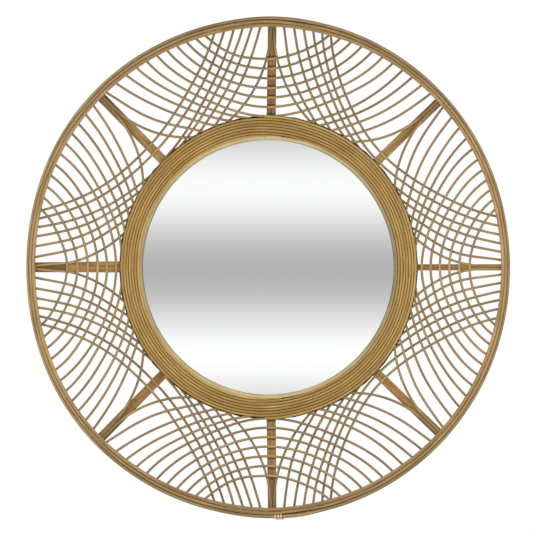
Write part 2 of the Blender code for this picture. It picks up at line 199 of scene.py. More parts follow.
# Cane is the vine's smooth skin, unstained and the palest of all
paleCane = rattanFinish("naturalCane", "#C9AE7C", "#E4D0A4", "#F3E6C6", "#D6BC8C", patchShare=0.3)
print("rattan finishes ready")


# Rods and hoops: a round section swept along every path, a little uneven in thickness and in its run
rodSettings = {"Step": 0.005, "Sides": 12, "Thickness Change": 0.10, "Wander": 0.0004}
rodUnevenness = {
    "apart": 7.0,       # metres between two rods' places in the patterns
    "swellScale": 14.0,
    "swellDetail": 2.0,
    "driftScale": 9.0,
    "driftDetail": 1.0,
}


def buildRodTree():
    tree = bpy.data.node_groups.new("rattanRods", "GeometryNodeTree")
    tree.is_modifier = True
    face = tree.interface
    face.new_socket("Geometry", in_out="INPUT", socket_type="NodeSocketGeometry")
    face.new_socket("Step", in_out="INPUT", socket_type="NodeSocketFloat")
    face.new_socket("Sides", in_out="INPUT", socket_type="NodeSocketInt")
    face.new_socket("Thickness Change", in_out="INPUT", socket_type="NodeSocketFloat")
    face.new_socket("Wander", in_out="INPUT", socket_type="NodeSocketFloat")
    face.new_socket("Seed", in_out="INPUT", socket_type="NodeSocketInt")
    face.new_socket("Material", in_out="INPUT", socket_type="NodeSocketMaterial")
    face.new_socket("Geometry", in_out="OUTPUT", socket_type="NodeSocketGeometry")
    start = addNode(tree, "NodeGroupInput")
    given = start.outputs
    even = addNode(tree, "GeometryNodeResampleCurve", {"Curve": given["Geometry"], "Length": given["Step"]},
                   mode="LENGTH")
    rod = addNode(tree, "GeometryNodeCurveOfPoint")
    chance = addNode(tree, "FunctionNodeRandomValue",
                     {"ID": rod.outputs["Curve Index"], "Seed": given["Seed"]}, data_type="FLOAT")
    run = addNode(tree, "GeometryNodeSplineParameter")
    offset = addNode(tree, "ShaderNodeMath",
                     {0: chance.outputs[1], 1: rodUnevenness["apart"], 2: run.outputs["Length"]},
                     operation="MULTIPLY_ADD")
    named = addNode(tree, "GeometryNodeStoreNamedAttribute",
                    {"Geometry": even.outputs[0], "Name": "along", "Value": offset.outputs[0]},
                    data_type="FLOAT", domain="POINT")
    tinted = addNode(tree, "GeometryNodeStoreNamedAttribute",
                     {"Geometry": named.outputs[0], "Name": "tint", "Value": chance.outputs[1]},
                     data_type="FLOAT", domain="POINT")
    place = addNode(tree, "ShaderNodeCombineXYZ", {0: offset.outputs[0], 1: chance.outputs[1]})
    wave = addNode(tree, "ShaderNodeTexNoise",
                   {"Vector": place.outputs[0], "Scale": rodUnevenness["swellScale"],
                    "Detail": rodUnevenness["swellDetail"]})
    swell = addNode(tree, "ShaderNodeMath", {0: wave.outputs[0], 1: 0.5}, operation="SUBTRACT")
    factor = addNode(tree, "ShaderNodeMath", {0: swell.outputs[0], 1: given["Thickness Change"], 2: 1.0},
                     operation="MULTIPLY_ADD")
    radius = addNode(tree, "GeometryNodeInputRadius")
    thickness = addNode(tree, "ShaderNodeMath", {0: radius.outputs[0], 1: factor.outputs[0]},
                        operation="MULTIPLY")
    thick = addNode(tree, "GeometryNodeSetCurveRadius",
                    {"Curve": tinted.outputs[0], "Radius": thickness.outputs[0]})
    drift = addNode(tree, "ShaderNodeTexNoise",
                    {"Vector": place.outputs[0], "Scale": rodUnevenness["driftScale"],
                     "Detail": rodUnevenness["driftDetail"]})
    centred = addNode(tree, "ShaderNodeVectorMath", {0: drift.outputs[1], 1: (0.5, 0.5, 0.5)},
                      operation="SUBTRACT")
    moved = addNode(tree, "ShaderNodeVectorMath", {0: centred.outputs[0], "Scale": given["Wander"]},
                    operation="SCALE")
    bent = addNode(tree, "GeometryNodeSetPosition",
                   {"Geometry": thick.outputs[0], "Offset": moved.outputs[0]})
    circle = addNode(tree, "GeometryNodeCurvePrimitiveCircle", {"Resolution": given["Sides"], "Radius": 1.0})
    spot = addNode(tree, "GeometryNodeInputPosition")
    section = addNode(tree, "GeometryNodeStoreNamedAttribute",
                      {"Geometry": circle.outputs[0], "Name": "around", "Value": spot.outputs[0]},
                      data_type="FLOAT_VECTOR", domain="POINT")
    swept = addNode(tree, "GeometryNodeCurveToMesh",
                    {"Curve": bent.outputs[0], "Profile Curve": section.outputs[0], "Fill Caps": True})
    if "Scale" in swept.inputs:    # where the sweep has this input, it takes the place of the curve's radius
        tree.links.new(addNode(tree, "GeometryNodeInputRadius").outputs[0], swept.inputs["Scale"])
    smooth = addNode(tree, "GeometryNodeSetShadeSmooth", {"Geometry": swept.outputs[0], "Shade Smooth": True})
    real = addNode(tree, "GeometryNodeRealizeInstances", {"Geometry": smooth.outputs[0]})
    finished = addNode(tree, "GeometryNodeSetMaterial",
                       {"Geometry": real.outputs[0], "Material": given["Material"]})
    addNode(tree, "NodeGroupOutput", {"Geometry": finished.outputs[0]})
    return tree


rodTree = buildRodTree()


# A path is a list of points, each (x, y, height, radius)
def sweepRods(name, paths, material, seed, closed=False, **changes):
    curve = bpy.data.curves.new(name + "Path", "CURVE")
    curve.dimensions = "3D"
    for path in paths:
        spline = curve.splines.new("POLY")
        spline.points.add(len(path) - 1)
        for point, (x, y, height, radius) in zip(spline.points, path):
            point.co = (*standUp(x, y, height), 1.0)
            point.radius = radius
        spline.use_cyclic_u = closed
    source = newObject(name + "Path", curve)
    maker = source.modifiers.new("rods", "NODES")
    maker.node_group = rodTree
    sockets = {item.name: item.identifier for item in rodTree.interface.items_tree if item.in_out == "INPUT"}
    for setting, value in {**rodSettings, **changes, "Seed": seed}.items():
        maker[sockets[setting]] = value
    maker[sockets["Material"]] = material
    graph = bpy.context.evaluated_depsgraph_get()
    mesh = bpy.data.meshes.new_from_object(source.evaluated_get(graph))
    bpy.data.objects.remove(source, do_unlink=True)
    return newObject(name, mesh)


# Writes how much darker each point of a piece is by its place on the flat layout: stain on some pieces,
# painted shade on others
def stainAndShadeBy(piece, share):
    mesh = piece.data
    layer = mesh.attributes.new("stainAndShade", "FLOAT", "POINT")
    for vertex, item in zip(mesh.vertices, layer.data):
        item.value = share(vertex.co.x, vertex.co.z)
    return piece


def keep(piece, nodes):  # the piece hangs with the mirror and stands for the solids named
    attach(piece, "root")
    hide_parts(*nodes)


# Heights above the wall of the layers, from back to front
layers = {
    "slat": 0.0063,
    "slatThickness": 0.0030,
    "rearRods": 0.0118,
    "frontRods": 0.01625,
    "overRods": 0.0185,
}

# Slats: angle, shift sideways and width, all before the ring is drawn oval
slats = {
    "right": (0.0, 0.0, 0.0100),
    "upper_right": (44.1, 0.0, 0.0140),
    "top": (90.0, 0.0069, 0.0140),
    "upper_left": (134.4, 0.0, 0.0152),
    "left": (180.0, 0.0, 0.0165),
    "lower_left": (225.6, 0.0, 0.0152),
    "bottom": (270.0, 0.0069, 0.0140),
    "lower_right": (315.9, 0.0, 0.0140),
}

# Fans of arched rods. Each rod is an arc with its centre on the fan's axis, and meets the outer ring at the
# angle "outer". The first rods of a fan, as many as "whole" says, cross the axis at "crossing". The others
# are halves that go under the coil at the angle "inner". Bent by hand, a rod bows off its arc halfway,
# outwards where the bow is below zero. All of these are a start, a step and a change of step. "oddBows" are
# for the rods that stray. The last rod of a side lies along a slat and bends away from it, as "bend" says:
# the slat, how far out the bend starts, and the angle at which the rod goes under the coil.
rods = {
    "thickness": 0.0039,
    "outerRadius": 0.3800,    # where the angles "outer" are taken
    "innerRadius": 0.2408,    # where the angles "inner" are taken
    "tuck": 0.0100,           # how far a rod runs on under the coil
    "gap": 0.0003,            # left between the two rods on a slat
    "pointEvery": 0.004,
}
rightSide = {
    "outer": (14.22, 2.342, 0.048),
    "inner": (11.17, 5.61, 0.03),
    "half": 4,
    "wholeBow": (-0.0010, -0.0008, 0.0),
    "halfBow": (-0.0010, 0.0010, 0.0),
    "oddBows": {8: -0.0012, 9: 0.0012, 10: 0.0009},
}
leftSide = {
    "outer": (14.33, 2.846, 0.0),
    "inner": (9.27, 6.7, -0.41),
    "half": 5,
    "wholeBow": (-0.0025, 0.0004, -0.00007),
    "halfBow": (-0.0042, 0.0027, -0.0004),
    "oddBows": {1: -0.0012, 4: -0.0034, 9: -0.0010},
}
fans = {
    "right": {
        "axis": 0.0,
        "crossing": (0.3272, -0.0173, 0.00031),
        "whole": 7,
        1: {**rightSide, "bend": ("upper_right", 0.359, 32.25)},
        -1: {**rightSide, "bend": ("lower_right", 0.359, 32.25)},
    },
    "top": {
        "axis": 90.0,
        "crossing": (0.3293, -0.0153, 0.00006),
        "whole": 7,
        1: {
            "outer": (15.32, 2.2, 0.054),
            "inner": (9.0, 6.0, -0.13),
            "half": 4,
            "wholeBow": (0.0027, -0.0009, -0.0001),
            "halfBow": (-0.0026, 0.0012, 0.0002),
            "oddBows": {1: -0.0013, 9: -0.0011, 10: 0.0014},
            "bend": ("upper_left", 0.3604, 30.7),
        },
        -1: {
            "outer": (14.92, 2.66, 0.016),
            "inner": (15.9, 4.23, 0.2),
            "half": 4,
            "wholeBow": (-0.0015, 0.0006, -0.0002),
            "halfBow": (0.0006, 0.0005, 0.0),
            "oddBows": {1: -0.0016},
            "bend": ("upper_right", 0.354, 33.7),
        },
    },
    "left": {
        "axis": 180.0,
        "crossing": (0.3257, -0.0177, 0.00031),
        "whole": 6,
        1: {**leftSide, "bend": ("lower_left", 0.3545, 33.85)},
        -1: {**leftSide, "bend": ("upper_left", 0.3545, 33.85)},
    },
    "upper_right": {
        "axis": 45.0,
        "crossing": (0.2580, -0.0131, 0.0),
        "whole": 2,
        1: {
            "outer": (29.84, 2.07, 0.039),
            "inner": (8.0, 6.69, -0.19),
            "half": 4,
            "wholeBow": (-0.0036, 0.0005, 0.0),
            "halfBow": (-0.0037, 0.0035, -0.0005),
            "oddBows": {0: 0.0013, 5: 0.0017},
            "bend": ("top", 0.378, 28.4),
        },
        -1: {
            "outer": (32.38, 2.34, -0.034),
            "inner": (11.9, 6.8, -0.31),
            "half": 4,
            "wholeBow": (-0.0030, 0.0004, 0.0),
            "halfBow": (0.0009, 0.0005, 0.0005),
            "oddBows": {},
            "bend": ("right", 0.354, 33.0),
        },
    },
    "upper_left": {
        "axis": 135.0,
        "crossing": (0.2716, -0.0132, 0.0),
        "whole": 2,
        1: {
            "outer": (30.95, 1.9, 0.082),
            "inner": (8.7, 6.7, -0.26),
            "half": 4,
            "wholeBow": (0.0023, 0.0002, 0.0),
            "halfBow": (0.0013, 0.0021, -0.0003),
            "oddBows": {},
            "bend": ("left", 0.3664, 32.4),
        },
        -1: {
            "outer": (32.22, 2.39, -0.036),
            "inner": (3.7, 7.2, -0.08),
            "half": 4,
            "wholeBow": (-0.0022, 0.0012, 0.0),
            "halfBow": (-0.0037, 0.0028, -0.0003),
            "oddBows": {},
            "bend": ("top", 0.381, 30.0),
        },
    },
}


def series(terms, step):
    start, change, bow = terms
    return start + change * step + bow * step * step


# Centre, radius and inner arc angle of the arc that meets two rings at two angles
def rodCircle(outer, ring, inner):
    xOuter, yOuter = polar(rods["outerRadius"], outer)
    xInner, yInner = polar(ring, inner)
    centre = (rods["outerRadius"] ** 2 - ring ** 2) / (2 * (xOuter - xInner))
    return centre, math.hypot(xOuter - centre, yOuter), math.atan2(yInner, centre - xInner)


# The arc angle at which an arc meets a ring
def angleOn(centre, radius, ring):
    x = (centre * centre + ring * ring - radius * radius) / (2 * centre)
    return math.atan2(math.sqrt(max(0.0, ring * ring - x * x)), centre - x)


def rodBow(fan, side, number):
    terms = fan[side]
    if number < fan["whole"]:
        bow = series(terms["wholeBow"], number)
    else:
        bow = series(terms["halfBow"], number - fan["whole"])
    return bow + terms["oddBows"].get(number, 0.0)


def arcPoints(centre, radius, turns, bowed, bow):
    start, end = turns
    first, last = bowed
    steps = max(2, math.ceil(abs(end - start) * radius / rods["pointEvery"]))
    points = []
    for i in range(steps + 1):
        turn = start + (end - start) * i / steps
        share = min(1.0, max(0.0, (turn - first) / (last - first)))
        reach = radius + bow * (1 - math.cos(math.tau * share)) / 2
        points.append((centre - reach * math.cos(turn), reach * math.sin(turn)))
    return points


def wholeRod(fan, number, ring):
    crossing = series(fan["crossing"], number)
    halves = []
    for side in (1, -1):
        outer = math.radians(series(fan[side]["outer"], number))
        centre, radius, middle = rodCircle(outer, crossing, 0.0)
        turns = (middle, angleOn(centre, radius, ring))
        bowed = (middle, angleOn(centre, radius, rods["outerRadius"]))
        arc = arcPoints(centre, radius, turns, bowed, rodBow(fan, side, number))
        halves.append([(x, side * y) for x, y in arc])
    return halves[0][:0:-1] + halves[1]


def halfRod(fan, side, number, ring):
    outer = math.radians(series(fan[side]["outer"], number))
    inner = math.radians(series(fan[side]["inner"], number - fan["whole"]))
    centre, radius, start = rodCircle(outer, rods["innerRadius"], inner)
    turns = (start - rods["tuck"] / radius, angleOn(centre, radius, ring))
    bowed = (start, angleOn(centre, radius, rods["outerRadius"]))
    arc = arcPoints(centre, radius, turns, bowed, rodBow(fan, side, number))
    return [(x, side * y) for x, y in arc]


# On the left slat the two last rods part and come together again only at the hoop, in a long V
spread = {"slat": "left", "from": 0.322, "to": 0.381, "most": 0.0024}


def spreadAt(along):
    share = (along - spread["from"]) / (spread["to"] - spread["from"])
    return spread["most"] * math.sin(math.pi * min(1.0, max(0.0, share)))


def bentRod(fan, side, ring):
    slat, bendFrom, inner = fan[side]["bend"]
    slatAngle, shift, _ = slats[slat]
    axis = math.radians(fan["axis"])
    angle = math.radians(slatAngle)
    beside = -side * (rods["thickness"] / 2 + rods["gap"])
    x, y = polar(rods["innerRadius"], axis + side * math.radians(inner))
    along, across = turned(x - shift, y, -angle)
    run = bendFrom - along
    rise = across - beside
    radius = (run * run + rise * rise) / (2 * rise)
    turn = math.asin(run / radius)
    end = turn + math.copysign(rods["tuck"] / abs(radius), turn)
    steps = math.ceil(abs(end * radius) / rods["pointEvery"])
    turns = [end * i / steps for i in range(steps + 1)]
    line = [(bendFrom - radius * math.sin(t), beside + radius * (1 - math.cos(t))) for t in turns]
    reach = math.sqrt(ring ** 2 - shift ** 2)
    if reach > bendFrom + rods["pointEvery"]:
        steps = math.ceil((reach - bendFrom) / rods["pointEvery"])
        line = [(reach + (bendFrom - reach) * i / steps, beside) for i in range(steps)] + line
    if slat == spread["slat"]:
        line = [(u, v + math.copysign(spreadAt(u), beside)) for u, v in line]
    points = [turned(u, v, angle) for u, v in line]
    return [turned(px + shift, py, -axis) for px, py in points]


def fanPaths(fan, ring, height, below):
    flat = [wholeRod(fan, number, ring) for number in range(fan["whole"])]
    for side in (1, -1):
        last = fan["whole"] + fan[side]["half"]
        flat += [halfRod(fan, side, number, ring) for number in range(fan["whole"], last)]
        flat.append(bentRod(fan, side, ring))
    axis = math.radians(fan["axis"])
    fold = -1 if below else 1
    paths = []
    for path in flat:
        points = [oval(*turned(x, y, axis)) for x, y in path]
        paths.append([(x, fold * y, height, rods["thickness"] / 2) for x, y in points])
    return paths


# "under" is how much wider a hoop is at the top and bottom, where it reaches in under its neighbour. "spring"
# is how far it stands off where the hoops have sprung apart, near the top and near the bottom.
hoops = {
    "rim": {
        "radius": 0.3925, "thickness": 0.0044, "oval": 0.0175, "under": 0.0018, "spring": (0.0004, 0.0012),
    },
    "back": {
        "radius": 0.3854, "thickness": 0.0044, "oval": 0.0215, "under": 0.0, "spring": (0.0014, 0.0024),
    },
    "middle": {
        "radius": 0.3874, "thickness": 0.0045, "oval": 0.0158, "under": 0.0007, "spring": (-0.0010, -0.0010),
    },
    "front": {
        "radius": 0.3818, "thickness": 0.0060, "oval": 0.0148, "under": 0.0, "spring": (0.0, 0.0),
    },
}

# The hoops are bent by hand and wave a little off their ovals: how often round the ring, and how far
ringWaves = {2: 0.0005, 4: -0.0008, 5: 0.0005, 6: -0.0004}
# At the top and the bottom all of them come to a faint peak, "reach" degrees to either side
ringPeak = {"far": 0.0010, "reach": 11.0}
# A little right of the top and the bottom they have sprung apart, which leaves a dark gap inside the rim hoop
springs = {"middle": 7.0, "reach": 7.0}


# How far a hoop stands off its oval. The lower fans' paths are made as upper ones and turned over: "below".
def offOval(hoop, angle, below=False):
    atTop, atBottom = hoop["spring"]
    spring = atTop if (math.sin(angle) > 0) != below else atBottom
    wave = sum(far * math.cos(often * angle) for often, far in ringWaves.items())
    fromPeak = math.degrees(math.atan2(math.cos(angle), abs(math.sin(angle))))
    peak = min(1.0, abs(fromPeak) / ringPeak["reach"])
    sprung = min(1.0, abs(fromPeak - springs["middle"]) / springs["reach"])
    return (wave + ringPeak["far"] * (1 + math.cos(math.pi * peak)) / 2
            + spring * (1 + math.cos(math.pi * sprung)) / 2)


def slatDirection(slat, radius):
    angle, shift, _ = slats[slat]
    x, y = turned(math.sqrt(radius ** 2 - shift ** 2), 0.0, math.radians(angle))
    return math.atan2(y, x + shift)


def hoopPath(hoop, height, start=0.0, end=math.tau, below=False):
    closed = end - start >= math.tau
    steps = math.ceil((end - start) * hoop["radius"] / rods["pointEvery"])
    fold = -1 if below else 1
    path = []
    for i in range(steps if closed else steps + 1):
        angle = start + (end - start) * i / steps
        wider = hoop["under"] * (1 - math.cos(2 * angle)) / 2
        x, y = oval(*polar(hoop["radius"] + offOval(hoop, angle, below) - wider / 2, angle), hoop["oval"])
        path.append((x, fold * y, height, (hoop["thickness"] + wider) / 2))
    return path


# The rim hoop took less stain than the rods, and the rods are paler where they cross the slats
pale = {
    "rimFrom": 0.3885,
    "rim": -0.26,
    "crossing": -0.38,
    "crossingsTo": 0.337,    # further out the rods on a slat lie along it
    "alongLeft": -0.22,
    "besideSlat": 0.001,     # still counts as on the slat
}


def onSlat(x, z):
    for angle, shift, width in slats.values():
        along, across = turned(x - shift, z, -math.radians(angle))
        if along > 0 and abs(across) < width / 2 + pale["besideSlat"]:
            return True
    return False


def rodPaleness(x, z):
    radius = math.hypot(x, z) * (1 + hoops["rim"]["oval"] * math.cos(2 * math.atan2(z, x)))
    if radius > pale["rimFrom"]:
        return pale["rim"]
    if not onSlat(x, z):
        return 0.0
    if radius < pale["crossingsTo"]:
        return pale["crossing"]
    return pale["alongLeft"] if x < 0 and abs(z) < slats["left"][2] else 0.0


# Where each group of pieces starts in the random order
seeds = {"frontFans": 0, "rearFans": 10, "hoops": 20, "coil": 30}


# The rods of a fan with the quarter of the hoop that carries their ends
def makeFan(name, node, fan, hoop, height, below, seed):
    paths = fanPaths(fan, hoop["radius"], height, below)
    start = slatDirection(fan[-1]["bend"][0], hoop["radius"])
    end = slatDirection(fan[1]["bend"][0], hoop["radius"])
    if end < start:
        end += math.tau
    paths.append(hoopPath(hoop, height, start, end, below))
    keep(stainAndShadeBy(sweepRods(name, paths, rodRattan, seed), rodPaleness), [node])


for number, (name, node, fan, below) in enumerate((
    ("frontRodsRight", "front_fan_right", "right", False),
    ("frontRodsTop", "front_fan_top", "top", False),
    ("frontRodsLeft", "front_fan_left", "left", False),
    ("frontRodsBottom", "front_fan_bottom", "top", True),
)):
    makeFan(name, node, fans[fan], hoops["rim"], layers["frontRods"], below, seeds["frontFans"] + number)
for number, (name, node, fan, below) in enumerate((
    ("rearRodsUpperRight", "rear_fan_upper_right", "upper_right", False),
    ("rearRodsUpperLeft", "rear_fan_upper_left", "upper_left", False),
    ("rearRodsLowerLeft", "rear_fan_lower_left", "upper_left", True),
    ("rearRodsLowerRight", "rear_fan_lower_right", "upper_right", True),
)):
    makeFan(name, node, fans[fan], hoops["back"], layers["rearRods"], below, seeds["rearFans"] + number)
print("fans of rods ready")

# The two hoops over the rod ends, with painted shade that makes them darker at the top and bottom
overHoops = {"dark": 0.08, "sides": 16}


# painted shade: the hoops are drawn darker towards the top and the bottom of the ring
def hoopPaintedShade(x, z):
    return overHoops["dark"] * (1 - math.cos(2 * math.atan2(z, x))) / 2


for number, (name, node, hoop) in enumerate((
    ("outerHoopFront", "outer_hoop_inner", "front"),
    ("outerHoopMiddle", "outer_hoop_middle", "middle"),
)):
    height = layers["overRods"] + hoops[hoop]["thickness"] / 2
    path = hoopPath(hoops[hoop], height, math.pi / 2, math.pi / 2 + math.tau)
    ring = sweepRods(name, [path], hoopRattan, seeds["hoops"] + number, closed=True, Sides=overHoops["sides"])
    keep(stainAndShadeBy(ring, hoopPaintedShade), [node])
print("outer hoops ready")


# The coil: loops that lie one place further out on the left than on the right. They change place near the
# top and again near the bottom. A half strand inside them fills the left side, one outside them the right.
coil = {
    "loops": 6,
    "thickness": 0.0041,
    "first": 0.2102,         # the innermost place's radius
    "pitch": 0.00445,        # from one place to the next
    "changeLeft": -15.0,     # degrees from the top between which a loop changes place
    "changeRight": 20.0,
    "innerPast": 5.6,        # degrees that the half strands run on past the top and the bottom
    "outerPast": 1.7,
    "pointEvery": 1.0,       # degrees
    "sides": 14,
    "innerPaler": -0.08,     # the innermost strand is a little paler
}


def coilPlace(fromTop):  # 0 on the right side, 1 on the left, by degrees clockwise from the top
    x, y = math.sin(math.radians(fromTop)), math.cos(math.radians(fromTop))
    turn = math.degrees(math.atan2(x, abs(y)))
    along = (coil["changeRight"] - turn) / (coil["changeRight"] - coil["changeLeft"])
    along = min(1.0, max(0.0, along))
    return along * along * (3 - 2 * along)


def coilPoint(radius, fromTop, thickness):
    x, y = oval(*polar(radius, math.radians(90 - fromTop)))
    return x + ringShape["innerShift"], y, layers["overRods"] + coil["thickness"] / 2, thickness / 2


def degreesFrom(start, end):
    steps = round(abs(end - start) / coil["pointEvery"])
    return [start + (end - start) * i / steps for i in range(steps + 1)]


def sweepCoil(name, path, number, closed=False):
    return sweepRods(name, [path], coilRattan, seeds["coil"] + number, closed=closed, Sides=coil["sides"])


def coilStrand(place, angles):    # the strand at a place counted from the glass
    return [coilPoint(coil["first"] + coil["pitch"] * (place + coilPlace(a)), a, coil["thickness"])
            for a in angles]


def innerStrandStain(x, z):
    return coil["innerPaler"]


for number in range(coil["loops"]):
    loop = sweepCoil(f"coilLoop{number + 1}", coilStrand(number, range(360)), number, closed=True)
    keep(loop, [f"coil_loop_{number + 1}"])

path = coilStrand(coil["loops"], degreesFrom(-coil["outerPast"], 180 + coil["outerPast"]))
keep(sweepCoil("coilOuterStrand", path, coil["loops"] + 1), ["coil_outer_strand"])

path = []    # the inner half strand thins out where the loops move in over it
for a in degreesFrom(coil["innerPast"], -180 - coil["innerPast"]):
    room = coil["thickness"] - coil["pitch"] * (1 - coilPlace(a))
    path.append(coilPoint(coil["first"] - (coil["thickness"] - room) / 2, a, room))
inner = stainAndShadeBy(sweepCoil("coilInnerStrand", path, coil["loops"] + 2), innerStrandStain)
keep(inner, ["coil_inner_strand"])
print("coil ready")


# Slats, trim and binding: a rounded flat section swept along a line, with the same attributes as the rods
flatShape = {
    "corner": 4,        # steps round a corner
    "sharpFrom": 40,    # degrees from which an angle stays an edge
    "apart": 3,         # metres between two tints' places in the patterns
}


# Points round a rectangle with round corners, centred. The radius of the two outward corners can differ.
def roundedSection(width, depth, radius, corner=flatShape["corner"], outward=None):
    points = []
    for x, y, start in ((1, 1, 0), (-1, 1, 90), (-1, -1, 180), (1, -1, 270)):
        bend = outward if outward and x > 0 else radius
        for i in range(corner + 1):
            angle = math.radians(start + 90 * i / corner)
            points.append((x * (width / 2 - bend) + bend * math.cos(angle),
                           y * (depth / 2 - bend) + bend * math.sin(angle)))
    return points


# A mesh through stations: each is a centre, a sideways and an upward direction, and a section
def sweepFlat(name, stations, material, closed=False, tint=0.5):
    shape = bmesh.new()
    along = shape.verts.layers.float.new("along")
    around = shape.verts.layers.float_vector.new("around")
    shade = shape.verts.layers.float.new("tint")
    rings = []
    distance = 0.0
    for number, (centre, side, up, section) in enumerate(stations):
        if number:
            distance += (centre - stations[number - 1][0]).length
        ring = []
        for u, v in section:
            vertex = shape.verts.new(centre + side * u + up * v)
            vertex[along] = distance + flatShape["apart"] * tint
            vertex[around] = Vector((u, v, 0)) / sectionUnit
            vertex[shade] = tint
            ring.append(vertex)
        rings.append(ring)
    pairs = list(zip(rings, rings[1:]))
    if closed:
        pairs.append((rings[-1], rings[0]))
    for one, two in pairs:
        for i in range(len(one)):
            j = (i + 1) % len(one)
            shape.faces.new((one[i], one[j], two[j], two[i]))
    if not closed:
        shape.faces.new(rings[0])
        shape.faces.new(rings[-1])
    bmesh.ops.recalc_face_normals(shape, faces=shape.faces)
    mesh = bpy.data.meshes.new(name)
    shape.to_mesh(mesh)
    shape.free()
    mesh.materials.append(material)
    mesh.shade_smooth()
    mesh.set_sharp_from_angle(angle=math.radians(flatShape["sharpFrom"]))
    return newObject(name, mesh)


# "lean" is how far the inner end stands off sideways, "taper" how much wider it is than the outer end
slatShape = {
    "start": 0.2070,
    "end": 0.3890,
    "edge": 0.0009,
    "stationEvery": 0.005,
    "lean": {"top": 0.0020, "bottom": -0.0020, "left": -0.0008},
    "taper": {"left": 0.0030, "top": 0.0015, "bottom": 0.0015},
    "trueWidthAt": 0.3,       # how far in from the outer end, as a share, it has its stated width
    # painted shade: the outer end of the left slat, between its two rods, is drawn nearly black
    "pale": -0.12,            # the left slat is paler than the others,
    "paintedShadeFrom": 0.3225,       # and nearly black between the ends of its two rods
    "dark": 0.52,
    "firstTint": 0.35,
    "tintStep": 0.37,
}


# painted shade, nearly black, on the left slat's outer end; the rest of that slat gets its own paler colour
def slatToneAndPaintedShade(x, z):
    if x > 0 or abs(z) > slats["left"][2]:
        return 0.0
    return slatShape["dark"] if -x > slatShape["paintedShadeFrom"] else slatShape["pale"]


def makeSlat(side, tint):
    angle, shift, width = slats[side]
    turn = math.radians(angle)
    run = slatShape["end"] - slatShape["start"]
    steps = math.ceil(run / slatShape["stationEvery"])
    lean = slatShape["lean"].get(side, 0.0)
    taper = slatShape["taper"].get(side, 0.0)
    middle = layers["slat"] + layers["slatThickness"] / 2
    across = Vector((-math.sin(turn), 0, math.cos(turn)))
    stations = []
    for i in range(steps + 1):
        inward = 1 - i / steps
        x, y = turned(slatShape["start"] + run * i / steps, 0, turn)
        x, y = oval(x + shift, y)
        wide = width + taper * (inward - slatShape["trueWidthAt"])
        section = roundedSection(wide, layers["slatThickness"], slatShape["edge"])
        centre = standUp(x, y, middle) + across * lean * inward
        stations.append((centre, across, Vector((0, -1, 0)), section))
    name = "slat" + side.title().replace("_", "")
    piece = sweepFlat(name, stations, slatRattan, tint=tint)
    keep(stainAndShadeBy(piece, slatToneAndPaintedShade), ["spoke_" + side])


for number, side in enumerate(slats):
    makeSlat(side, (slatShape["firstTint"] + slatShape["tintStep"] * number) % 1)
print("slats ready")

# The trim is one strip bent round, with its ends butted together a little left of the top
trim = {
    "inner": 0.2027,
    "outer": 0.2082,
    "back": 0.0096,
    "front": 0.0215,
    "edge": 0.0022,         # the corners towards the glass are round,
    "outerEdge": 0.0008,    # those towards the coil nearly sharp
    "corner": 6,
    "oval": 0.0075,
    "shift": 0.0007,
    "stations": 360,
    "joint": -1.2,          # degrees from the top
    "jointWidth": 0.22,     # degrees to either side
    "jointInward": 0.30,    # how much of the section's width and height the joint takes off
    "jointDown": 0.10,
    # painted shade: the trim is drawn darker at its sides, the right side more than the left
    "paintedShadeRight": 0.50,
    "paintedShadeLeft": 0.37,
}


# painted shade on the trim, growing towards its left and right sides
def trimPaintedShade(x, z):
    side = math.cos(math.atan2(z, x))
    return side * side * (trim["paintedShadeRight"] if side > 0 else trim["paintedShadeLeft"])


def makeTrim():
    depth = trim["front"] - trim["back"]
    width = trim["outer"] - trim["inner"]
    full = roundedSection(width, depth, trim["edge"], trim["corner"], trim["outerEdge"])
    notched = [(u * (1 - trim["jointInward"]), v - max(0.0, v) * trim["jointDown"]) for u, v in full]
    middle = (trim["inner"] + trim["outer"]) / 2
    start, half, count = trim["joint"], trim["jointWidth"], trim["stations"]
    marks = [(start, notched)]
    marks += [(start + half + (360 - 2 * half) * i / count, full) for i in range(count + 1)]
    stations = []
    for a, section in marks:
        x, y = oval(*polar(middle, math.radians(90 - a)), trim["oval"])
        outward = Vector((x, 0, y)).normalized()
        centre = standUp(x + trim["shift"], y, (trim["back"] + trim["front"]) / 2)
        stations.append((centre, outward, Vector((0, -1, 0)), section))
    piece = stainAndShadeBy(sweepFlat("paleTrim", stations, trimRattan, closed=True), trimPaintedShade)
    keep(piece, ["trim_ring"])


makeTrim()
print("trim ready")


# Cane binding: a flat strip wound round the rim hoop in slanting turns, right of the bottom
binding = {
    "left": 0.0093,
    "right": 0.0254,
    "turns": 3,
    "width": 0.0030,
    "thickness": 0.0012,
    "edge": 0.0004,
    "corner": 3,
    "lift": 0.0010,
    "startTurn": 40,         # degrees round the hoop where the strip starts
    "stationsPerTurn": 24,
    "tint": 0.6,
}


def makeBinding():
    hoop = hoops["rim"]
    thickness = hoop["thickness"] + hoop["under"]
    centreRing = hoop["radius"] - hoop["under"] / 2
    wind = thickness / 2 + binding["lift"] + binding["thickness"] / 2
    section = roundedSection(binding["width"], binding["thickness"], binding["edge"], binding["corner"])
    steps = binding["turns"] * binding["stationsPerTurn"]
    inset = binding["width"] / 2
    points = []
    for i in range(steps + 1):
        share = i / steps
        x = binding["left"] + inset + (binding["right"] - binding["left"] - 2 * inset) * share
        angle = -math.acos(x / centreRing)
        px, py = oval(*polar(centreRing + offOval(hoop, angle), angle), hoop["oval"])
        outward = Vector((px, 0, py)).normalized()
        turn = math.tau * binding["turns"] * share + math.radians(binding["startTurn"])
        lift = outward * math.cos(turn) + Vector((0, -1, 0)) * math.sin(turn)
        points.append((standUp(px, py, layers["frontRods"]) + lift * wind, lift))
    stations = []
    for number, (centre, lift) in enumerate(points):
        before = points[max(0, number - 1)][0]
        after = points[min(len(points) - 1, number + 1)][0]
        forward = (after - before).normalized()
        stations.append((centre, forward.cross(lift).normalized(), lift, section))
    piece = sweepFlat("caneBinding", stations, paleCane, tint=binding["tint"])
    keep(piece, ["cane_binding"])


makeBinding()
print("binding ready")


